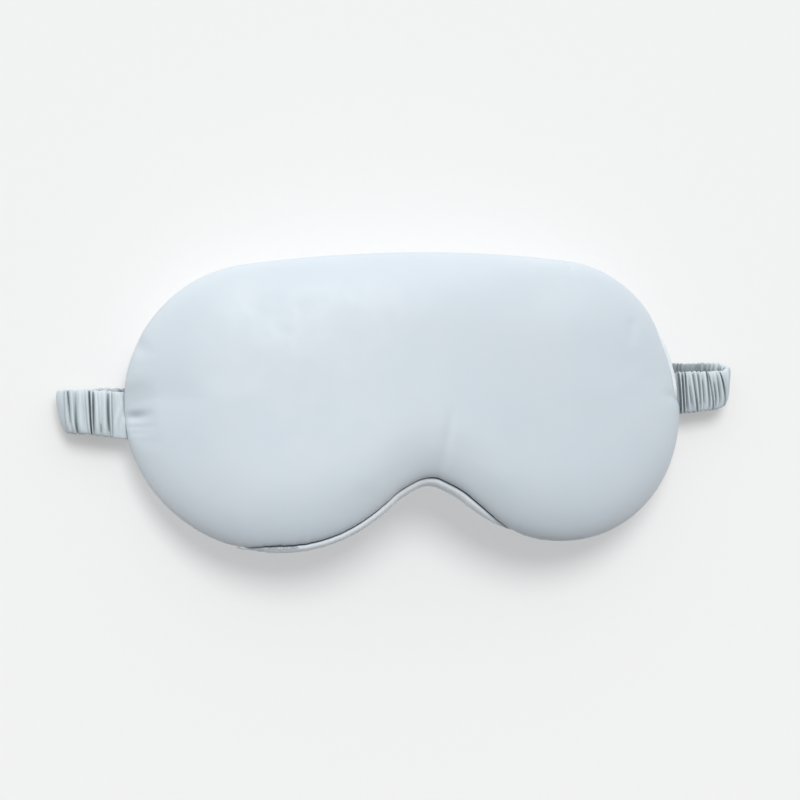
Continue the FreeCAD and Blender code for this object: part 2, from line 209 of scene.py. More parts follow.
def reach_in(turn, name):
    """Distance over the surface from the edge to the spine."""
    depth = np.linalg.norm(spine(turn) - outline(turn), axis=-1)
    length, inset, _ = TABLES[name]
    return depth + length[-1] - inset[-1]


def bend(plan, height):
    """Lay a point of the plan on the bent seam surface, lifted along its normal."""
    x = plan[..., 0]
    fall = np.sqrt(BEND_RADIUS ** 2 - x ** 2)
    return np.stack([x * (1 + height / BEND_RADIUS), plan[..., 1],
                     SEAM_TOP - BEND_RADIUS + fall * (1 + height / BEND_RADIUS)], axis=-1)


def base_point(turn, travel):
    """The unpadded pad's surface."""
    inset, _ = section(travel)
    height = rise(turn, inset, travel >= 0)
    start, end = outline(turn), spine(turn)
    depth = np.linalg.norm(end - start, axis=-1)
    share = np.clip(inset / depth, 0, 1)[..., None]
    lead, trail = inward(turn) * depth[..., None], end - start
    plan = ((2 * share ** 3 - 3 * share ** 2 + 1) * start + (share ** 3 - 2 * share ** 2 + share) * lead
            + (3 * share ** 2 - 2 * share ** 3) * end + (share ** 3 - share ** 2) * trail)
    return bend(plan, height)


# ---- padding by cloth simulation -----------------------------------------------------------------

CLOTH_TURNS = 240
CLOTH_RINGS = 22
CLOTH_FRAMES = 20
CLOTH_PRESSURE = 3
WRINKLING = 0.08
CLOTH_CAP = 2.6 * MM
EASING_ROUND = 24
EASING_INWARD = 8


def ring_faces(index, flip):
    """Quads between neighbouring rings of a closed grid of vertex numbers."""
    ahead = np.roll(index, -1, axis=0)
    quads = np.stack([index[:, :-1], ahead[:, :-1], ahead[:, 1:], index[:, 1:]], axis=-1)
    quads = quads.reshape(-1, 4)
    return quads[:, ::-1] if flip else quads


def weld(turns, rings, first):
    """Vertex numbers of a grid whose last ring meets itself along the spine."""
    index = first + np.arange(turns * rings).reshape(rings, turns).T
    half = turns // 2
    index[half + 1:, -1] = index[1:half, -1][::-1]
    return index


def new_mesh(name, points, faces):
    """A mesh object from points and faces, without the points that no face uses."""
    used, faces = np.unique(np.asarray(faces), return_inverse=True)
    faces = faces.reshape(-1, 4)
    mesh = bpy.data.meshes.new(name)
    mesh.from_pydata(np.asarray(points)[used].tolist(), [], faces.tolist())
    mesh.validate()
    mesh.shade_smooth()
    item = bpy.data.objects.new(name, mesh)
    bpy.context.scene.collection.objects.link(item)
    return item, used


def swell():
    """How far cloth pressure moves each point of a coarse pad, for the front and the back."""
    turn = np.arange(CLOTH_TURNS) * TAU / CLOTH_TURNS
    share = np.linspace(0, 1, CLOTH_RINGS)
    grids = {}
    for name, sign in (("front", 1), ("back", -1)):
        travel = sign * reach_in(turn, name)[:, None] * share
        grids[name] = base_point(np.repeat(turn[:, None], CLOTH_RINGS, axis=1), travel)
    count = CLOTH_TURNS * CLOTH_RINGS
    front, back = weld(CLOTH_TURNS, CLOTH_RINGS, 0), weld(CLOTH_TURNS, CLOTH_RINGS, count)
    back[:, 0] = front[:, 0]
    points = np.concatenate([grid.transpose(1, 0, 2).reshape(-1, 3) for grid in grids.values()])
    faces = np.concatenate([ring_faces(front, False), ring_faces(back, True)])
    item, used = new_mesh("pad_cloth", points, faces)
    pinned = item.vertex_groups.new(name="seam")
    pinned.add(np.flatnonzero(np.isin(used, front[:, 0])).tolist(), 1.0, "REPLACE")
    cloth = item.modifiers.new("cloth", "CLOTH").settings
    cloth.quality = 6
    cloth.mass = 0.2
    cloth.tension_stiffness = cloth.compression_stiffness = 14
    cloth.shear_stiffness = 8
    cloth.bending_stiffness = 1
    cloth.shrink_min = -0.005
    cloth.use_pressure = True
    cloth.uniform_pressure_force = CLOTH_PRESSURE
    cloth.vertex_group_mass = "seam"
    cloth.effector_weights.gravity = 0
    for number in range(1, CLOTH_FRAMES + 1):
        bpy.context.scene.frame_set(number)
    graph = bpy.context.evaluated_depsgraph_get()
    mesh = item.evaluated_get(graph).to_mesh()
    now = points.copy()
    now[used] = np.array([v.co for v in mesh.vertices])
    moved = now - points
    length = np.linalg.norm(moved, axis=1, keepdims=True)
    moved *= CLOTH_CAP * np.tanh(length / CLOTH_CAP) / np.maximum(length, 1e-9)
    bpy.data.objects.remove(item)
    bpy.context.scene.frame_set(1)
    return {"front": relax(moved[front]), "back": relax(moved[back])}


def relax(moved):
    """Ease most of the simulated wrinkling out, as a firmly filled pad does, and keep its swelling."""
    eased = moved.copy()
    for _ in range(EASING_ROUND):
        eased = (np.roll(eased, 1, axis=0) + 2 * eased + np.roll(eased, -1, axis=0)) / 4
    for _ in range(EASING_INWARD):
        opposite = np.roll(eased[::-1], 1, axis=0)
        ahead = np.concatenate([eased[:, 2:], opposite[:, -2:-1]], axis=1)
        eased[:, 1:] = (eased[:, :-1] + 2 * eased[:, 1:] + ahead) / 4
        eased[:, -1] = (eased[:, -1] + np.roll(eased[::-1], 1, axis=0)[:, -1]) / 2
    return eased + WRINKLING * (moved - eased)


SWELL = swell()


def cubic(fraction):
    """Catmull-Rom weights of the four points round a place between the middle two."""
    f = fraction
    return [(-f ** 3 + 2 * f ** 2 - f) / 2, (3 * f ** 3 - 5 * f ** 2 + 2) / 2,
            (-3 * f ** 3 + 4 * f ** 2 + f) / 2, (f ** 3 - f ** 2) / 2]


def swelling(turn, travel):
    """The simulated movement at any place on the pad, read smoothly from the coarse grid."""
    total = np.zeros(turn.shape + (3,))
    column = turn / TAU * CLOTH_TURNS
    first = np.floor(column).astype(int)
    for name, sign in (("front", 1), ("back", -1)):
        here = (travel >= 0) == (sign > 0)
        row = np.clip(sign * travel / reach_in(turn, name), 0, 1) * (CLOTH_RINGS - 1)
        lower = np.minimum(np.floor(row).astype(int), CLOTH_RINGS - 2)
        moved = np.zeros_like(total)
        for i, across in enumerate(cubic(column - first)):
            for j, along in enumerate(cubic(row - lower)):
                ring = np.clip(lower + j - 1, 0, CLOTH_RINGS - 1)
                moved += (across * along)[..., None] * SWELL[name][(first + i - 1) % CLOTH_TURNS, ring]
        total[here] = moved[here]
    return total


# ---- seam, puckers and creases -------------------------------------------------------------------

TURNS = 720
NEAR_RINGS = np.array([0, 0.12, 0.26, 0.42, 0.62, 0.9, 1.25, 1.7, 2.3, 3.0, 3.9, 5.0, 6.3, 7.8, 9.6,
                       11.6, 14]) * MM
FAR_RINGS = 34
SEAM_IN_FRONT = 3.3 * MM
SEAM_BESIDE = 3.9 * MM
SEAM_BEHIND = -2.4 * MM
GROOVE_DEPTH = 2.0 * MM
GROOVE_WIDTH = 0.75 * MM
PUCKER_REACH = 2.6 * MM
EDGE_PER_RADIAN = 108
UNEVENNESS = 0.17 * MM


def beside_right_root(place):
    """1 along the right edge beside and above the strap end, fading to 0 away from it."""
    x, y = place[..., 0], place[..., 1]
    return (x > 0) * smooth(-9 * MM, 4 * MM, y) * (1 - smooth(20 * MM, 44 * MM, y))


def seam_travel(turn):
    """Where the seam lies round the edge: rolled to the front under the lobes' inner sides and the
    notch and beside the right strap end, and hidden behind elsewhere."""
    place = outline(turn)
    x, y = place[..., 0], place[..., 1]
    below = (np.sin(turn) < 0) * smooth(-80 * MM, -56 * MM, x) * (1 - smooth(14 * MM, 44 * MM, x))
    beside = beside_right_root(place)
    level = SEAM_BEHIND + (SEAM_IN_FRONT - SEAM_BEHIND) * below + (SEAM_BESIDE - SEAM_BEHIND) * beside
    root = (x < 0) * np.exp(-((y - 0.5 * MM) / (10.5 * MM)) ** 6) * (np.abs(x) > 60 * MM)
    return level * (1 - root) - 0.2 * MM * root


def soft_line(place, start, end, width):
    """1 at the start of a line across the plan, fading to 0 along it and over a width round it."""
    start, along = np.array(start) * MM, (np.array(end) - np.array(start)) * MM
    share = np.clip(((place - start) @ along) / (along @ along), 0, 1)
    gap = np.linalg.norm(place - start - share[..., None] * along, axis=-1)
    return (1 - share ** 2) * np.exp(-(gap / (width * MM)) ** 2)


# start, end, width and depth of each crease of the front, in millimetres
CREASES = [
    ((-105.2, -2.2), (-100, -2.6), 1.8, 1.2), ((-104, 3), (-95, 5), 2.2, 0.15),
    ((-106, -5.6), (-98, -7.6), 0.9, 0.3), ((-105.6, -8), (-99, -9.4), 0.8, 0.25),
    ((-104.5, -10.5), (-95, -14), 2.2, 0.25), ((-103.5, 26), (-99, 19), 2.6, 0.6),
    ((-25.5, 53), (-26.5, 36), 3.0, 0.25), ((63.5, 53), (62.8, 46), 1.6, 0.4),
    ((87, 27), (86, 18), 2.6, 0.35), ((105.5, -1), (98, 1), 2.4, 0.45),
    ((2.8, -31), (9.5, -4), 1.8, 0.45),
]


def puckers(turn, travel):
    """Small ripples where the fabric is drawn in at the seam."""
    place = outline(turn)
    x, below = place[..., 0], np.sin(turn) < 0
    closing = below * smooth(-76 * MM, -71 * MM, x) * (1 - smooth(-47 * MM, -40 * MM, x))
    notch_side = below * smooth(26 * MM, 33 * MM, x) * (1 - smooth(42 * MM, 50 * MM, x))
    length = turn * EDGE_PER_RADIAN
    wave = (np.sin(length / 0.62 + 1.7 * np.sin(length / 3.1)) + 0.6 * np.sin(length / 1.13 + 2))
    size = 0.05 + 0.14 * closing + 0.12 * notch_side
    return size * MM * wave * np.exp(-np.abs(travel - seam_travel(turn)) / PUCKER_REACH)


def strap_pull(plan, travel):
    """How far the front is drawn down where the left end tab is sewn in."""
    near = np.exp(-((plan[..., 1] - 0.5 * MM) / (9 * MM)) ** 4) * (plan[..., 0] < 0)
    inset, height = section(np.maximum(travel, 0))
    return near * height * 0.5 * (1 - smooth(0, 13 * MM, inset))


def detail(turn, travel, plan):
    """Movement along the surface's outward normal: groove, puckers, creases and soft unevenness."""
    gap = np.abs(travel - seam_travel(turn))
    beside = beside_right_root(outline(turn))
    groove = GROOVE_DEPTH * (1 + 0.5 * beside) * np.exp(-gap / (GROOVE_WIDTH * (1 + 0.6 * beside)))
    moved = puckers(turn, travel) - groove
    front = smooth(0, 1.5 * MM, travel)
    for start, end, width, depth in CREASES:
        moved -= front * depth * MM * soft_line(plan, start, end, width)
    x, y = plan[..., 0] / MM, plan[..., 1] / MM
    uneven = np.sin(x / 23 + 1.3 * np.sin(y / 31)) + 0.7 * np.sin(y / 17 + x / 41 + 1)
    return moved + UNEVENNESS * uneven * smooth(2 * MM, 14 * MM, np.abs(travel))


def panel_grid(name):
    """Turns and travels of one panel's mesh, from the seam in to the spine."""
    sign = 1 if name == "front" else -1
    turn = np.arange(TURNS) * TAU / TURNS
    seam, reach = seam_travel(turn)[:, None], sign * reach_in(turn, name)[:, None]
    share = np.linspace(0, 1, FAR_RINGS + 1)[1:]
    near = seam + sign * NEAR_RINGS
    travel = np.concatenate([near, near[:, -1:] * (1 - share) + reach * share], axis=1)
    return np.repeat(turn[:, None], travel.shape[1], axis=1), travel


def grid_normals(points, sign):
    """Outward normals of a closed grid."""
    along = np.roll(points, -1, axis=0) - np.roll(points, 1, axis=0)
    across = np.gradient(points, axis=1)
    normal = np.cross(along, across) * sign
    return normal / np.maximum(np.linalg.norm(normal, axis=-1, keepdims=True), 1e-12)


def panel_points(name):
    """The finished surface of one panel."""
    turn, travel = panel_grid(name)
    points = base_point(turn, travel)
    plan = points[..., :2].copy()
    points = points + swelling(turn, travel)
    normal = grid_normals(points, 1 if name == "front" else -1)
    normal[:, -1] = normal[:, -2]
    moved = points + normal * detail(turn, travel, plan)[..., None]
    if name == "front":
        moved[..., 2] -= strap_pull(plan, travel)
    return moved


def apply_modifiers(item):
    """Turn an object's modifiers into its mesh."""
    graph = bpy.context.evaluated_depsgraph_get()
    mesh = bpy.data.meshes.new_from_object(item.evaluated_get(graph))
    item.modifiers.clear()
    item.data = mesh
    item.data.shade_smooth()


def thicken(item, thickness):
    """Give a single sheet of satin its thickness, inwards."""
    solid = item.modifiers.new("thickness", "SOLIDIFY")
    solid.thickness = thickness
    solid.offset = -1
    apply_modifiers(item)
    item.data.set_sharp_from_angle(angle=math.radians(80))


# ---- materials -----------------------------------------------------------------------------------

# Painted shade: the fraction of the shade tint painted where one run of the strap stands before
# another.
PAINTED_SHELTER_SHADE = 0.32


def set_range(node, low, high, first, last):
    """Set the limits of a map-range node."""
    limits = (("From Min", low), ("From Max", high), ("To Min", first), ("To Max", last))
    for key, number in limits:
        node.inputs[key].default_value = number


class Nodes:
    """A short way to build one procedural material."""

    def __init__(self, name):
        self.material = bpy.data.materials.new(name)
        self.material.use_nodes = True
        self.tree = self.material.node_tree
        self.shader = self.tree.nodes["Principled BSDF"]
        self.place = self.tree.nodes.new("ShaderNodeTexCoord").outputs["Object"]

    def link(self, output, target):
        self.tree.links.new(output, target)

    def noise(self, scale, detail=2.0, stretch=(1, 1, 1)):
        """Noise between 0 and 1; scale is in waves per metre."""
        spread = self.tree.nodes.new("ShaderNodeMapping")
        spread.inputs["Scale"].default_value = stretch
        self.link(self.place, spread.inputs["Vector"])
        node = self.tree.nodes.new("ShaderNodeTexNoise")
        node.inputs["Scale"].default_value = scale
        node.inputs["Detail"].default_value = detail
        self.link(spread.outputs["Vector"], node.inputs["Vector"])
        return node.outputs["Fac"]

    def wave(self, scale, direction, distortion=0.0):
        node = self.tree.nodes.new("ShaderNodeTexWave")
        node.bands_direction = direction
        node.inputs["Scale"].default_value = scale
        node.inputs["Distortion"].default_value = distortion
        self.link(self.place, node.inputs["Vector"])
        return node.outputs["Fac"]

    def ramp(self, value, low, high, first, last):
        """Map value from low..high onto first..last."""
        node = self.tree.nodes.new("ShaderNodeMapRange")
        set_range(node, low, high, first, last)
        self.link(value, node.inputs["Value"])
        return node.outputs["Result"]

    def math(self, operation, first, second):
        node = self.tree.nodes.new("ShaderNodeMath")
        node.operation = operation
        for position, value in enumerate((first, second)):
            if isinstance(value, (int, float)):
                node.inputs[position].default_value = value
            else:
                self.link(value, node.inputs[position])
        return node.outputs["Value"]

    def mix(self, share, first, last):
        """A colour between first and last, each a colour or an output, by share."""
        node = self.tree.nodes.new("ShaderNodeMix")
        node.data_type = "RGBA"
        for position, value in ((6, first), (7, last)):
            if isinstance(value, tuple):
                node.inputs[position].default_value = (*value, 1)
            else:
                self.link(value, node.inputs[position])
        self.link(share, node.inputs[0])
        return node.outputs[2]

    def colour(self, share, first, last):
        """Paint the surface between first and last by share."""
        self.link(self.mix(share, first, last), self.shader.inputs["Base Color"])

    def openness(self, distance):
        """Ambient occlusion, read to paint shade: 0 far inside a crease and 1 out in the open."""
        node = self.tree.nodes.new("ShaderNodeAmbientOcclusion")
        node.inputs["Distance"].default_value = distance
        node.samples = 8
        return node.outputs["AO"]

    def bump(self, *layers):
        """Stack bump layers, each a height, its depth in metres and its strength."""
        normal = None
        for height, depth, strength in layers:
            node = self.tree.nodes.new("ShaderNodeBump")
            node.inputs["Distance"].default_value = depth
            node.inputs["Strength"].default_value = strength
            self.link(height, node.inputs["Height"])
            if normal:
                self.link(normal, node.inputs["Normal"])
            normal = node.outputs["Normal"]
        self.link(normal, self.shader.inputs["Normal"])

    def set(self, **values):
        for key, value in values.items():
            self.shader.inputs[key.replace("_", " ")].default_value = value


def satin(name, light, shade, painted_shade, reach, wrinkle, streak, shelter=None):
    """Silky satin: fine weave, soft sheen and faint wrinkles, with painted shade darkening the colour
    inside creases and, where a shelter distance is given, painted shade where one run of fabric stands
    before another."""
    nodes = Nodes(name)
    broad = nodes.mix(nodes.ramp(nodes.noise(28, 3), 0.35, 0.65, 0, 1), light, shade)
    # Painted shade: ambient occlusion darkens the colour towards the given shade tint inside creases,
    # gather valleys and the seam groove.
    paint = nodes.mix(nodes.ramp(nodes.openness(reach), 0.35, 0.85, 0, 1), painted_shade, broad)
    # Painted shade: where another run of fabric stands within the shelter distance, the colour darkens
    # further, to a fraction of the shade tint.
    if shelter:
        sheltered_shade = tuple(PAINTED_SHELTER_SHADE * channel for channel in painted_shade)
        paint = nodes.mix(nodes.ramp(nodes.openness(shelter), 0.32, 0.78, 0, 1), sheltered_shade, paint)
    nodes.link(paint, nodes.shader.inputs["Base Color"])
    rough = nodes.ramp(nodes.noise(160, 2), 0.3, 0.7, 0.36, 0.46)
    nodes.link(rough, nodes.shader.inputs["Roughness"])
    weave = nodes.math("ADD", nodes.wave(1300, "X", 0.4), nodes.wave(2100, "Y", 0.4))
    streaks = nodes.noise(420, 3, (1, 0.13, 1))
    nodes.bump((nodes.noise(75, 2, (1, 0.7, 1)), 0.5 * MM, wrinkle), (streaks, 0.6 * MM, streak),
               (weave, 0.02 * MM, 0.25))
    nodes.set(Sheen_Weight=0.25, Sheen_Roughness=0.4, Specular_IOR_Level=0.42)
    nodes.set(Sheen_Tint=(0.95, 0.97, 1.0, 1))
    return nodes.material


def blackout():
    """Plain black woven liner."""
    nodes = Nodes("blackout weave")
    weave = nodes.math("MULTIPLY", nodes.wave(700, "X"), nodes.wave(700, "Y"))
    nodes.colour(weave, (0.012, 0.012, 0.014), (0.03, 0.03, 0.033))
    nodes.bump((weave, 0.1 * MM, 0.6), (nodes.noise(500, 3), 0.1 * MM, 0.2))
    nodes.set(Roughness=0.85, Sheen_Weight=0.15)
    return nodes.material


def fibre():
    """White polyester wadding."""
    nodes = Nodes("wadding fibre")
    tangle = nodes.noise(420, 6, (1, 0.35, 1))
    nodes.colour(tangle, (0.86, 0.86, 0.85), (0.68, 0.68, 0.67))
    nodes.bump((tangle, 0.5 * MM, 0.8), (nodes.noise(90, 3), 1.5 * MM, 0.5))
    nodes.set(Roughness=0.95, Sheen_Weight=0.5)
    return nodes.material


def ribbed():
    """Knitted elastic with fine lengthwise ribs."""
    nodes = Nodes("ribbed elastic")
    ribs = nodes.wave(330, "Y", 0.3)
    nodes.colour(ribs, (0.62, 0.63, 0.64), (0.82, 0.83, 0.83))
    nodes.bump((ribs, 0.25 * MM, 0.8), (nodes.noise(900, 3), 0.08 * MM, 0.4))
    nodes.set(Roughness=0.8, Sheen_Weight=0.2)
    return nodes.material


def twisted(name, colour):
    """Sewing thread: a tight diagonal twist."""
    nodes = Nodes(name)
    twist = nodes.wave(1500, "DIAGONAL", 0.5)
    nodes.colour(twist, tuple(channel * 0.7 for channel in colour), colour)
    nodes.bump((twist, 0.06 * MM, 0.8))
    nodes.set(Roughness=0.6, Sheen_Weight=0.3)
    return nodes.material


# Painted shade: the dark blue tint laid into the seam groove and creases of the pad's two satin panels.
PAINTED_SEAM_SHADE = (0.08, 0.15, 0.20)
PAD_SATIN = satin("pad satin", (0.60, 0.66, 0.708), (0.58, 0.645, 0.698), PAINTED_SEAM_SHADE,
                  reach=1.3 * MM, wrinkle=0.14, streak=0.0)
# Painted light: the back panel is the same satin as the front, given a paler colour so its rim past the
# seam looks brightly lit.
BACK_SATIN_PAINTED_LIGHT = satin("back satin painted light", (0.80, 0.85, 0.885), (0.77, 0.825, 0.865), PAINTED_SEAM_SHADE,
                   reach=1.0 * MM, wrinkle=0.10, streak=0.0)
# Painted shade: the strap satin's third colour darkens its gather valleys, and the shelter distance
# paints darker shade inside the loops where one run stands before another.
STRAP_SATIN = satin("strap satin", (0.61, 0.685, 0.72), (0.52, 0.595, 0.63), (0.35, 0.42, 0.445),
                    reach=2.2 * MM, wrinkle=0.6, streak=0.7, shelter=16 * MM)
WADDING = fibre()
BLACKOUT = blackout()
ELASTIC = ribbed()
THREAD = twisted("thread", (0.50, 0.60, 0.66))

# ---- pad pieces ----------------------------------------------------------------------------------

PANEL_THICKNESS = 0.35 * MM


def finish(item, material, slot, bodies, *nodes):
    """Give a piece its material, the bodies it moves with and the CAD nodes it stands for."""
    item.data.materials.clear()
    item.data.materials.append(material)
    if len(bodies) == 1:
        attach(item, bodies[0])
    else:
        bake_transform(item)
    if nodes:
        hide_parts(*nodes)


def panel(name):
    """One satin panel of the pad."""
    points = panel_points(name)
    index = weld(TURNS, points.shape[1], 0)
    flat = points.transpose(1, 0, 2).reshape(-1, 3)
    item, _ = new_mesh("satin_%s_panel" % name, flat, ring_faces(index, name == "back"))
    thicken(item, PANEL_THICKNESS)
    material = PAD_SATIN if name == "front" else BACK_SATIN_PAINTED_LIGHT
    finish(item, material, "pad_satin", ["pad"], "%s_panel" % name)


WADDING_TURNS = 240
WADDING_RINGS = 26
WADDING_INSET = 9 * MM
WADDING_UNDER_PANEL = 1.6 * MM
WADDING_OFF_LINER = 0.75 * MM
TUFTS = 0.12 * MM


def wadding(name):
    """One soft layer of filling: domed under its panel, flat on the liner."""
    sign = 1 if name == "front" else -1
    turn = np.arange(WADDING_TURNS) * TAU / WADDING_TURNS
    wide = np.repeat(turn[:, None], WADDING_RINGS, axis=1)
    share = np.linspace(0, 1, WADDING_RINGS) ** 1.3
    reach = reach_in(turn, name)[:, None]
    travel = WADDING_INSET + (reach - WADDING_INSET) * share
    dome = base_point(wide, sign * travel) + swelling(wide, sign * travel)
    dome = dome - grid_normals(dome, sign) * WADDING_UNDER_PANEL
    if name == "front":
        dome[..., 2] -= 1.1 * strap_pull(dome[..., :2], travel)
    flat = dome.copy()
    fall = np.sqrt(BEND_RADIUS ** 2 - dome[..., 0] ** 2)
    flat[..., 2] = SEAM_TOP - BEND_RADIUS + fall + sign * WADDING_OFF_LINER
    tufts = np.sin(wide * 31 + 2 * np.sin(share * 9)) * np.sin(share * 23 + wide * 3)
    dome[..., 2] += sign * TUFTS * tufts
    points = np.concatenate([flat[:, ::-1], dome[:, 1:]], axis=1)
    rings = points.shape[1]
    index = np.arange(WADDING_TURNS * rings).reshape(rings, WADDING_TURNS).T.copy()
    half = WADDING_TURNS // 2
    for ring in (0, rings - 1):
        index[half + 1:, ring] = index[1:half, ring][::-1]
    item, _ = new_mesh("%s_fibre_filling" % name, points.transpose(1, 0, 2).reshape(-1, 3),
                       ring_faces(index, name == "back"))
    finish(item, WADDING, "wadding", ["pad"], "%s_wadding" % name)


THREAD_SIDES = 8
THREAD_RADIUS = 0.1 * MM
UPRIGHT = np.array([0.13, 0.31, 0.94])


def thread_run(name, points, bodies, *nodes):
    """A length of sewing thread along points."""
    points = np.asarray(points)
    along = np.gradient(points, axis=0)
    along /= np.linalg.norm(along, axis=1, keepdims=True)
    side = np.cross(along, UPRIGHT)
    side /= np.linalg.norm(side, axis=1, keepdims=True)
    other = np.cross(side, along)
    angle = np.arange(THREAD_SIDES) * TAU / THREAD_SIDES
    out = np.cos(angle)[:, None] * side[:, None] + np.sin(angle)[:, None] * other[:, None]
    ring = points[:, None] + THREAD_RADIUS * out
    index = np.arange(len(points) * THREAD_SIDES).reshape(len(points), THREAD_SIDES).T
    item, _ = new_mesh(name, ring.reshape(-1, 3), ring_faces(index, False))
    close_ends(item)
    finish(item, THREAD, "thread", bodies, *nodes)


def close_ends(item):
    """Fill a tube's open ends and turn every face outwards."""
    mesh = bmesh.new()
    mesh.from_mesh(item.data)
    bmesh.ops.holes_fill(mesh, edges=[edge for edge in mesh.edges if edge.is_boundary], sides=0)
    bmesh.ops.recalc_face_normals(mesh, faces=mesh.faces)
    mesh.to_mesh(item.data)
    mesh.free()
    item.data.shade_smooth()


def on_pad(turn, travel):
    """Points on the finished pad's surface."""
    turn, travel = np.atleast_2d(turn), np.atleast_2d(travel)
    return (base_point(turn, travel) + swelling(turn, travel))[0]


def turn_at(x):
    """Angle round the lower outline at x."""
    return TAU - np.arccos(x / HALF_WIDTH)


CLOSING_LEFT = -71 * MM
CLOSING_RIGHT = -49 * MM
CLOSING_POINTS = 190
POINTS_PER_STITCH = 10
STITCH_SPREAD = 0.4 * MM
STITCH_DEPTH = 0.25 * MM


def closing_stitches():
    """Ladder stitches that draw the closing gap together, one thread in and out across the seam."""
    x = np.linspace(CLOSING_LEFT, CLOSING_RIGHT, CLOSING_POINTS)
    turn = turn_at(x)
    share = np.arange(len(x)) / POINTS_PER_STITCH
    travel = seam_travel(turn) + STITCH_SPREAD * np.sin(share * TAU)
    points = on_pad(turn, travel)
    points[:, 2] -= STITCH_DEPTH * (1 + np.cos(share * 2 * TAU))
    thread_run("closing_ladder_thread", points, ["pad"], "closing_stitch")


panel("front")
panel("back")
wadding("front")
wadding("back")
closing_stitches()

# ---- strap ---------------------------------------------------------------------------------------

LEFT_FOLD_X = -(FOLD_HINGE_X - 0.6 * MM)
RIGHT_FOLD_X = FOLD_HINGE_X - 0.4 * MM
FOLD_TURN = 2.5 * MM
STEP = 0.2 * MM
SMOOTHING = 9
CASING_THICKNESS = 0.3 * MM
LEFT_END_Y, RIGHT_END_Y = -1.2, 2.0
LEAN_LEFT, LEAN_RIGHT = 0.12, 0.19
LEAN_CURVE = 0.02 / MM

# distance out and height of each side's centreline, in millimetres
ROOTS = {-1: (106.2, 9.7), 1: (108.3, 9.62)}
FRONT_LEG = [(109, 9.6), (113, 9.8), (118, 9.75), (123, 9.4)]
BACK_LEG = [(123, 3.1), (118, 2.3), (112, 1.8), (106, 1.65), (98, 1.6), (80, 1.6)]


def leg_points(sign, fold_x):
    """Centreline from the root out along the front, round the fold and back behind the pad."""
    front = [ROOTS[sign]] + FRONT_LEG
    angle = np.linspace(math.pi / 2, -math.pi / 2, 13)
    out = abs(fold_x)
    fold = [(out + FOLD_TURN * math.cos(a), FOLD_HINGE.z + FOLD_TURN * math.sin(a)) for a in angle]
    points = [(x * MM, z * MM) for x, z in front] + fold + [(x * MM, z * MM) for x, z in BACK_LEG]
    return [(sign * x, z) for x, z in points]


def strap_path():
    """The whole strap's centreline from the left root to the right root, evenly stepped."""
    keys = leg_points(-1, LEFT_FOLD_X) + [(0, 1.6 * MM)] + leg_points(1, RIGHT_FOLD_X)[::-1]
    keys = np.array(keys)
    length = np.concatenate([[0], np.cumsum(np.linalg.norm(np.diff(keys, axis=0), axis=1))])
    count = int(length[-1] / STEP)
    even = np.linspace(0, length[-1], count)
    line = np.stack([np.interp(even, length, keys[:, axis]) for axis in (0, 1)], axis=1)
    for _ in range(3):
        margin = (SMOOTHING // 2, SMOOTHING // 2)
        padded = np.pad(line, (margin, (0, 0)), mode="reflect", reflect_type="odd")
        even_out = np.ones(SMOOTHING) / SMOOTHING
        line = np.stack([np.convolve(padded[:, axis], even_out, "valid") for axis in (0, 1)], axis=1)
    return even, line


PATH_S, PATH = strap_path()
STRAP_LENGTH = PATH_S[-1]


def landmark(x, after_fold):
    """Distance along the strap of a signed x, on the front leg or on the run behind."""
    fold = np.argmin(PATH[:, 0]) if x < 0 else np.argmax(PATH[:, 0])
    number = np.arange(len(PATH))
    behind = number >= fold if x < 0 else number <= fold
    allowed = behind if after_fold else ~behind
    gap = np.where(allowed, np.abs(PATH[:, 0] - x), 1)
    return PATH_S[np.argmin(gap)]


def along(s, table):
    """Smoothly read a table of (distance, value) pairs."""
    places, values = zip(*table)
    wide = sum(np.interp(s + shift * MM, places, values) for shift in (-2, -1, 0, 1, 2))
    return wide / 5


LEFT_FOLD = PATH_S[np.argmin(PATH[:, 0])]
RIGHT_FOLD = PATH_S[np.argmax(PATH[:, 0])]

# how far up the strap lies, half its width and its edges' curl, by distance along it
CENTRE_Y = [(0, LEFT_END_Y), (landmark(-124 * MM, False), 0.9), (landmark(-118 * MM, True), 2.4),
            (landmark(-80 * MM, True), 1.5), (landmark(60 * MM, True), 1.5),
            (landmark(102 * MM, True), 6.6), (RIGHT_FOLD - 2 * MM, 6.3), (RIGHT_FOLD + 4 * MM, 2.8),
            (STRAP_LENGTH, RIGHT_END_Y)]
HALF_TABLE = [(0, 8.75), (LEFT_FOLD, 7.85), (landmark(-112 * MM, True), 8.1),
              (landmark(112 * MM, True), 8.1), (RIGHT_FOLD - 2 * MM, 7.9),
              (RIGHT_FOLD + 4 * MM, 7.4), (STRAP_LENGTH, 8.2)]
CURL = [(RIGHT_FOLD - 40 * MM, 0), (RIGHT_FOLD - 30 * MM, 0.045), (RIGHT_FOLD - 8 * MM, 0.045),
        (RIGHT_FOLD - 2 * MM, 0)]


def frame_at(s):
    """Centreline point, side centre and outward normal at distances along the strap."""
    x, z = (np.interp(s, PATH_S, PATH[:, axis]) for axis in (0, 1))
    ahead = [np.interp(s + STEP, PATH_S, PATH[:, axis]) for axis in (0, 1)]
    behind = [np.interp(s - STEP, PATH_S, PATH[:, axis]) for axis in (0, 1)]
    along_x, along_z = ahead[0] - behind[0], ahead[1] - behind[1]
    size = np.hypot(along_x, along_z)
    return x, z, along_z / size, -along_x / size


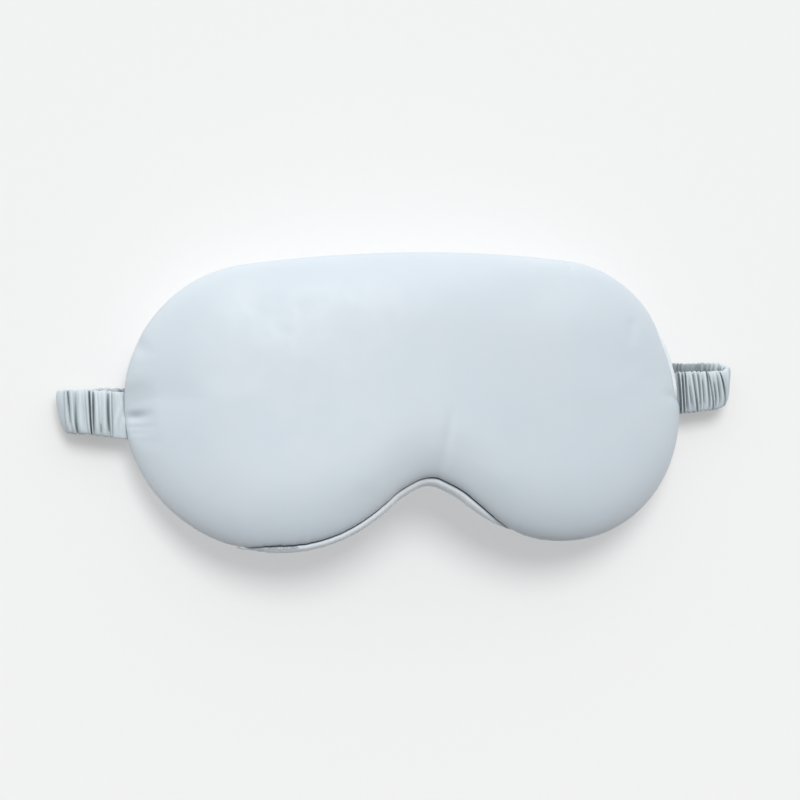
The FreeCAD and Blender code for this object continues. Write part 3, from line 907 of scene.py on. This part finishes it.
def lay(s, side, lift):
    """A point of the strap: s along it, side across it from its centre, lift off its middle."""
    x, z, out_x, out_z = frame_at(s)
    y = along(s, CENTRE_Y) * MM + side
    fold = np.sign(x) * smooth(112 * MM, 130 * MM, np.abs(x))
    lean = np.where(x < 0, LEAN_LEFT, LEAN_RIGHT) * side
    lean = lean - LEAN_CURVE * np.minimum(side + 3 * MM, 0) ** 2
    lift = lift - along(s, CURL) / MM * np.maximum(side - 1 * MM, 0) ** 2
    point = [x + out_x * lift + fold * lean, y, np.maximum(z + out_z * lift, 0.25 * MM)]
    return np.stack(point, axis=-1)


RNG = np.random.default_rng(11)
AROUND = 44
ROWS_PER_GATHER = 8
TAB_STEP = 0.3
LEFT_TAB_ROWS = 12
RIGHT_TAB_ROWS = 5


def gathers():
    """Places of the valleys between gathers, drawn at random."""
    least = [(0, 1.4), (LEFT_FOLD, 1.5), (LEFT_FOLD + 30 * MM, 1.9), (RIGHT_FOLD, 1.3),
             (STRAP_LENGTH, 1.05)]
    spread = [(0, 2.0), (LEFT_FOLD + 20 * MM, 2.2), (RIGHT_FOLD, 1.5), (STRAP_LENGTH, 1.3)]
    places = [landmark(-112.2 * MM, False)]
    last = landmark(108.8 * MM, False)
    while places[-1] < last - 1.2 * MM:
        here = places[-1]
        places.append(here + (along(here, least) + along(here, spread) * RNG.random()) * MM)
    return np.array(places)


VALLEYS = gathers()
COUNT = len(VALLEYS)
SWAY = RNG.normal(0, 0.4, (COUNT, 3)) * MM
HEIGHT = RNG.uniform(0.4, 1.45, (COUNT, 3))
SHALLOW = RNG.uniform(-0.35, 0.6, (COUNT, 3)).clip(0)
SLANT = np.interp(VALLEYS, [0, LEFT_FOLD - 4 * MM, LEFT_FOLD + 12 * MM, RIGHT_FOLD - 2 * MM,
                            RIGHT_FOLD + 4 * MM, STRAP_LENGTH - 11 * MM, STRAP_LENGTH - 2 * MM],
                  [0, 0.08, 0, 0, -0.28, -0.1, 0.03])


def strap_rows():
    """Row numbers in gathers: whole numbers are valleys, and those below 0 and past the last are
    the end tabs."""
    before = -np.arange(1, LEFT_TAB_ROWS + 1)[::-1] * TAB_STEP
    gathered = np.arange((COUNT - 1) * ROWS_PER_GATHER + 1) / ROWS_PER_GATHER
    after = COUNT - 1 + np.arange(1, RIGHT_TAB_ROWS + 1) * TAB_STEP
    return np.concatenate([before, gathered, after])


def across_strap(values, rows, v):
    """Values given per valley at three places across the strap, read at rows and v."""
    read = [np.interp(rows, np.arange(COUNT), values[:, k]) for k in range(3)]
    weights = [(1 - v) ** 2 / 4, (1 - v * v) / 2, (1 + v) ** 2 / 4]
    return sum(weight * line[:, None] for weight, line in zip(weights, read))


def row_places(rows):
    """Distance of each row along the strap."""
    inside = np.clip(rows, 0, COUNT - 1)
    start, end = VALLEYS[0], STRAP_LENGTH - VALLEYS[-1]
    past = np.where(rows < 0, start * rows / (LEFT_TAB_ROWS * TAB_STEP), 0)
    past += np.where(rows > COUNT - 1, end * (rows - COUNT + 1) / (RIGHT_TAB_ROWS * TAB_STEP), 0)
    return np.interp(inside, np.arange(COUNT), VALLEYS) + past


def gather_height(inside, places, loose, v):
    """How far each row stands up at places across the strap, in millimetres."""
    sharpness = np.interp(places, [LEFT_FOLD, RIGHT_FOLD], [1.3, 1.5])
    size = np.interp(places, [LEFT_FOLD, RIGHT_FOLD], [0.95, 0.85])[:, None]
    ridge = np.abs(np.sin(math.pi * inside)) ** sharpness
    shallow = across_strap(SHALLOW, np.round(inside), v)
    tall = across_strap(HEIGHT, inside, v) * (shallow + (1 - shallow) * ridge[:, None])
    return tall * loose * size


def casing_grid():
    """Points of the gathered casing, rows along it and a flattened ring round each."""
    rows = strap_rows()
    angle = np.arange(AROUND) * TAU / AROUND
    cosine, sine = np.cos(angle), np.sin(angle)
    v = np.sign(cosine) * np.abs(cosine) ** 0.75
    face = np.sign(sine) * np.abs(sine) ** 0.5
    inside = np.clip(rows, 0, COUNT - 1)
    places = row_places(rows)
    loose = (smooth(-0.3, 0.7, rows) * (1 - smooth(COUNT - 1.4, COUNT - 0.9, rows)))[:, None]
    half = along(places, HALF_TABLE)[:, None] * MM
    slant = np.interp(inside, np.arange(COUNT), SLANT)[:, None]
    shift = across_strap(SWAY, inside, v) - slant * v * half
    tall = gather_height(inside, places, loose, v)
    lift = np.where(face > 0, 1.5 * tall, 0.8 * tall) * MM
    tab = 1 - smooth(-0.6, 0.3, rows)[:, None]
    ripple = 0.16 * MM * tab * np.sin(3.4 * rows[:, None] + 2.2 * v + 1.5 * np.sin(4 * v))
    body = (0.6 + 0.1 * loose) * MM + ripple
    ruffle = (0.55 * tall - 0.25) * np.abs(v) ** 6 * MM * loose
    edge = 1 - smooth(STRAP_LENGTH - 1.2 * MM, STRAP_LENGTH, places)[:, None] * 0.75
    s = np.clip(places[:, None] + shift * loose, 0, STRAP_LENGTH)
    return lay(s, v * (half + ruffle), face * (body * edge + lift))


BAND_AROUND = 24
BAND_HALF = 5.4 * MM
BAND_HALF_THICKNESS = 0.28 * MM
BAND_STEP = 0.8 * MM
BAND_END = 3 * MM


def band_grid(s):
    """Points of the flat elastic inside the casing."""
    angle = np.arange(BAND_AROUND) * TAU / BAND_AROUND
    side = np.sign(np.cos(angle)) * np.abs(np.cos(angle)) ** 0.6 * BAND_HALF
    lift = np.sign(np.sin(angle)) * np.abs(np.sin(angle)) ** 0.4 * BAND_HALF_THICKNESS
    wide = np.repeat(s[:, None], BAND_AROUND, axis=1)
    return lay(wide, np.broadcast_to(side, wide.shape), np.broadcast_to(lift, wide.shape))


ROOT_BLEND = (108 * MM, 112 * MM)
FOLD_SPLIT = 124 * MM
FOLD_BLEND = Vector((0, 0, 1.4 * MM))
RETURN_SPLIT = 100 * MM
RETURN_BLEND = (112 * MM, 106 * MM)
MIDDLE_SPLIT = 20 * MM
BACK_BLEND = (95 * MM, 25 * MM)


def on_side(sign, places):
    """The points between which a blend runs, on the left or the right."""
    return [Vector((sign * x, 0, 0)) for x in places]


def strap_sections():
    """Every section of the strap: where it ends, and the bodies it moves with."""
    sections = []
    for side, sign in (("left", -1), ("right", 1)):
        run = "%s_%s_run"
        front, returning, back = (run % (side, part) for part in ("front", "return", "back"))
        bends = {
            "front": ["pad", front] + on_side(sign, ROOT_BLEND),
            "fold": [front, returning, FOLD_HINGE + FOLD_BLEND, FOLD_HINGE - FOLD_BLEND],
            "return": [returning, back] + on_side(sign, RETURN_BLEND),
            "back": [back, "middle_back_run"] + on_side(sign, BACK_BLEND),
        }
        # the loop's open pivot is at the right root, where no joint ties the run to the pad
        if side == "right":
            bends["front"] = [front]
        stops = [0 if side == "left" else STRAP_LENGTH, landmark(sign * FOLD_SPLIT, False),
                 landmark(sign * FOLD_SPLIT, True), landmark(sign * RETURN_SPLIT, True),
                 landmark(sign * MIDDLE_SPLIT, True)]
        for number, part in enumerate(("front", "fold", "return", "back")):
            ends = sorted(stops[number:number + 2])
            sections.append(("%s_%s" % (side, part), ends, bends[part]))
    middle = [landmark(-MIDDLE_SPLIT, True), landmark(MIDDLE_SPLIT, True)]
    sections.append(("middle_back", middle, ["middle_back_run"]))
    return sections


def strip(name, points, flip):
    """A tube from a run of rows of points."""
    index = np.arange(points.shape[0] * points.shape[1]).reshape(points.shape[:2]).T
    item, _ = new_mesh(name, points.reshape(-1, 3), ring_faces(index, flip))
    return item


ROOT_START = 99.5
ROOT_ROWS = 20

# end, middle and half width of the piece of strap inside each seam, in millimetres
ROOT_SIZES = {-1: (107.4, LEFT_END_Y, 8.3), 1: (109.2, RIGHT_END_Y, 7.9)}


def strap_root(side, sign):
    """The end of the strap inside the pad's seam."""
    angle = np.arange(AROUND) * TAU / AROUND
    end, middle, half = ROOT_SIZES[sign]
    x = np.linspace(ROOT_START, end, ROOT_ROWS) * MM
    v = np.sign(np.cos(angle)) * np.abs(np.cos(angle)) ** 0.6
    lift = np.sign(np.sin(angle)) * np.abs(np.sin(angle)) ** 0.4 * 0.5 * MM
    plan = np.stack(np.broadcast_arrays(sign * x[:, None], (middle + half * v) * MM), axis=-1)
    ripple = 0.08 * MM * np.sin(plan[..., 1] / (0.9 * MM))
    item = strip("%s_root_satin" % side, bend(plan, lift + ripple), sign < 0)
    close_ends(item)
    finish(item, STRAP_SATIN, "strap_satin", ["pad"], "%s_strap_root" % side)


def row_at(rows, mark):
    """Position of a valley's row in the casing."""
    return int(np.flatnonzero(rows == mark)[0])


def elastic_band(name, start, stop, bodies):
    """The length of elastic inside one section of the casing."""
    s = np.linspace(start, stop, int((stop - start) / BAND_STEP))
    item = strip("%s_band" % name, band_grid(s), True)
    close_ends(item)
    finish(item, ELASTIC, "elastic", bodies, "%s_elastic" % name)


def build_strap():
    """Casing, elastic and end stitches of every section."""
    rows, casing = strap_rows(), casing_grid()
    for name, ends, bodies in strap_sections():
        marks = [int(np.argmin(np.abs(VALLEYS - end))) for end in ends]
        at_start, at_end = ends[0] <= 0, ends[1] >= STRAP_LENGTH
        first = 0 if at_start else row_at(rows, marks[0])
        last = len(rows) - 1 if at_end else row_at(rows, marks[1])
        item = strip("%s_satin" % name, casing[first:last + 1], True)
        thicken(item, CASING_THICKNESS)
        nodes = ["%s_casing" % name]
        if name.endswith("front"):
            nodes.append(name.replace("front", "end_tab"))
        finish(item, STRAP_SATIN, "strap_satin", bodies, *nodes)
        start = BAND_END if at_start else VALLEYS[marks[0]]
        stop = STRAP_LENGTH - BAND_END if at_end else VALLEYS[marks[1]]
        elastic_band(name, start, stop, bodies)
        if name.endswith("front"):
            tack(name, bodies)


TACK_POINTS = 240
TACK_SWINGS = 9
TACK_HALF_WIDTH = 5.5 * MM
TACK_REACH = 0.45 * MM
TACK_DEPTH = -0.74 * MM


def tack(name, bodies):
    """Zigzag stitches across the end tab, on its hidden face."""
    left = name.startswith("left")
    s = VALLEYS[0] if left else VALLEYS[-1]
    share = np.linspace(0, 1, TACK_POINTS)
    swing = np.abs((share * TACK_SWINGS) % 1 - 0.5) * 4 - 1
    side = (share * 2 - 1) * TACK_HALF_WIDTH
    points = lay(s + TACK_REACH * swing, side, np.full_like(share, TACK_DEPTH))
    node = name.replace("front", "bar_tack")
    thread_run(name.replace("front", "tack_thread"), points, bodies, node)


build_strap()
strap_root("left", -1)
strap_root("right", 1)

# ---- carried-over pieces -------------------------------------------------------------------------

for node, material, slot in (("blackout_liner", BLACKOUT, "blackout_cloth"),
                             ("edge_seam_thread", THREAD, "thread")):
    piece = bpy.data.objects[node]
    piece.data.materials.clear()
    piece.data.materials.append(material)

# ---- stage ---------------------------------------------------------------------------------------

VIEW_YAW, VIEW_TILT, VIEW_ROLL = math.radians(15.83), math.radians(-8.46), math.radians(3.89)
VIEW_DISTANCE = 0.924
LENS = 112.5
SHIFT = (-0.0269, 0.0006)
FLOOR_SIZE = 6
FLOOR_GLOW = 0.36
SKY_UP = (-0.05, 1.0, 0.1)
SKY_COLOUR = (0.98, 0.99, 1.0, 1)
SKY_DARK, SKY_BRIGHT = 0.02, 1.1
SUN_POWER = 1.82
SUN_WIDTH = math.radians(32)
SUN_DIRECTION = Vector((0.02, -0.45, -1))


def camera():
    """A long lens looking nearly straight down on the mask's front."""
    data = bpy.data.cameras.new("camera")
    data.lens = LENS
    data.shift_x, data.shift_y = SHIFT
    item = bpy.data.objects.new("camera", data)
    bpy.context.scene.collection.objects.link(item)
    across = Vector((math.cos(VIEW_YAW), 0, math.sin(VIEW_YAW)))
    out = Vector((-math.sin(VIEW_YAW), 0, math.cos(VIEW_YAW)))
    up = math.cos(VIEW_TILT) * Vector((0, 1, 0)) - math.sin(VIEW_TILT) * out
    back = math.sin(VIEW_TILT) * Vector((0, 1, 0)) + math.cos(VIEW_TILT) * out
    right = math.cos(VIEW_ROLL) * across - math.sin(VIEW_ROLL) * up
    top = math.sin(VIEW_ROLL) * across + math.cos(VIEW_ROLL) * up
    aim = Vector((0, -1 * MM, SEAM_TOP))
    turn = Matrix((right, top, back)).transposed().to_4x4()
    item.matrix_world = Matrix.Translation(aim + back * VIEW_DISTANCE) @ turn
    bpy.context.scene.camera = item


def floor():
    """The pale ground the mask lies on."""
    bpy.ops.mesh.primitive_plane_add(size=FLOOR_SIZE)
    item = bpy.context.object
    item.name = "floor"
    nodes = Nodes("pale paper")
    nodes.colour(nodes.noise(300, 2), (0.50, 0.50, 0.50), (0.51, 0.51, 0.51))
    nodes.set(Roughness=0.95, Specular_IOR_Level=0.0)
    nodes.set(Emission_Color=(1, 1, 1, 1), Emission_Strength=FLOOR_GLOW)
    item.data.materials.append(nodes.material)
    item.parent = frame["bodies"]["middle_back_run"]


def sky():
    """Studio surroundings: bright towards the brow side, darker towards the nose."""
    world = bpy.data.worlds.new("studio")
    bpy.context.scene.world = world
    world.use_nodes = True
    tree = world.node_tree
    place = tree.nodes.new("ShaderNodeTexCoord")
    parts = tree.nodes.new("ShaderNodeVectorMath")
    parts.operation = "DOT_PRODUCT"
    parts.inputs[1].default_value = SKY_UP
    tree.links.new(place.outputs["Generated"], parts.inputs[0])
    level = tree.nodes.new("ShaderNodeMapRange")
    level.interpolation_type = "SMOOTHSTEP"
    set_range(level, -0.65, 0.9, SKY_DARK, SKY_BRIGHT)
    tree.links.new(parts.outputs["Value"], level.inputs["Value"])
    tree.links.new(level.outputs["Result"], tree.nodes["Background"].inputs["Strength"])
    tree.nodes["Background"].inputs["Color"].default_value = SKY_COLOUR


def sun():
    """The one broad, soft key light."""
    light = bpy.data.lights.new("key", "SUN")
    light.energy = SUN_POWER
    light.angle = SUN_WIDTH
    key = bpy.data.objects.new("key", light)
    bpy.context.scene.collection.objects.link(key)
    key.rotation_euler = SUN_DIRECTION.to_track_quat("-Z", "Y").to_euler()


camera()
floor()
sky()
sun()
bpy.context.scene.view_settings.view_transform = "Standard"
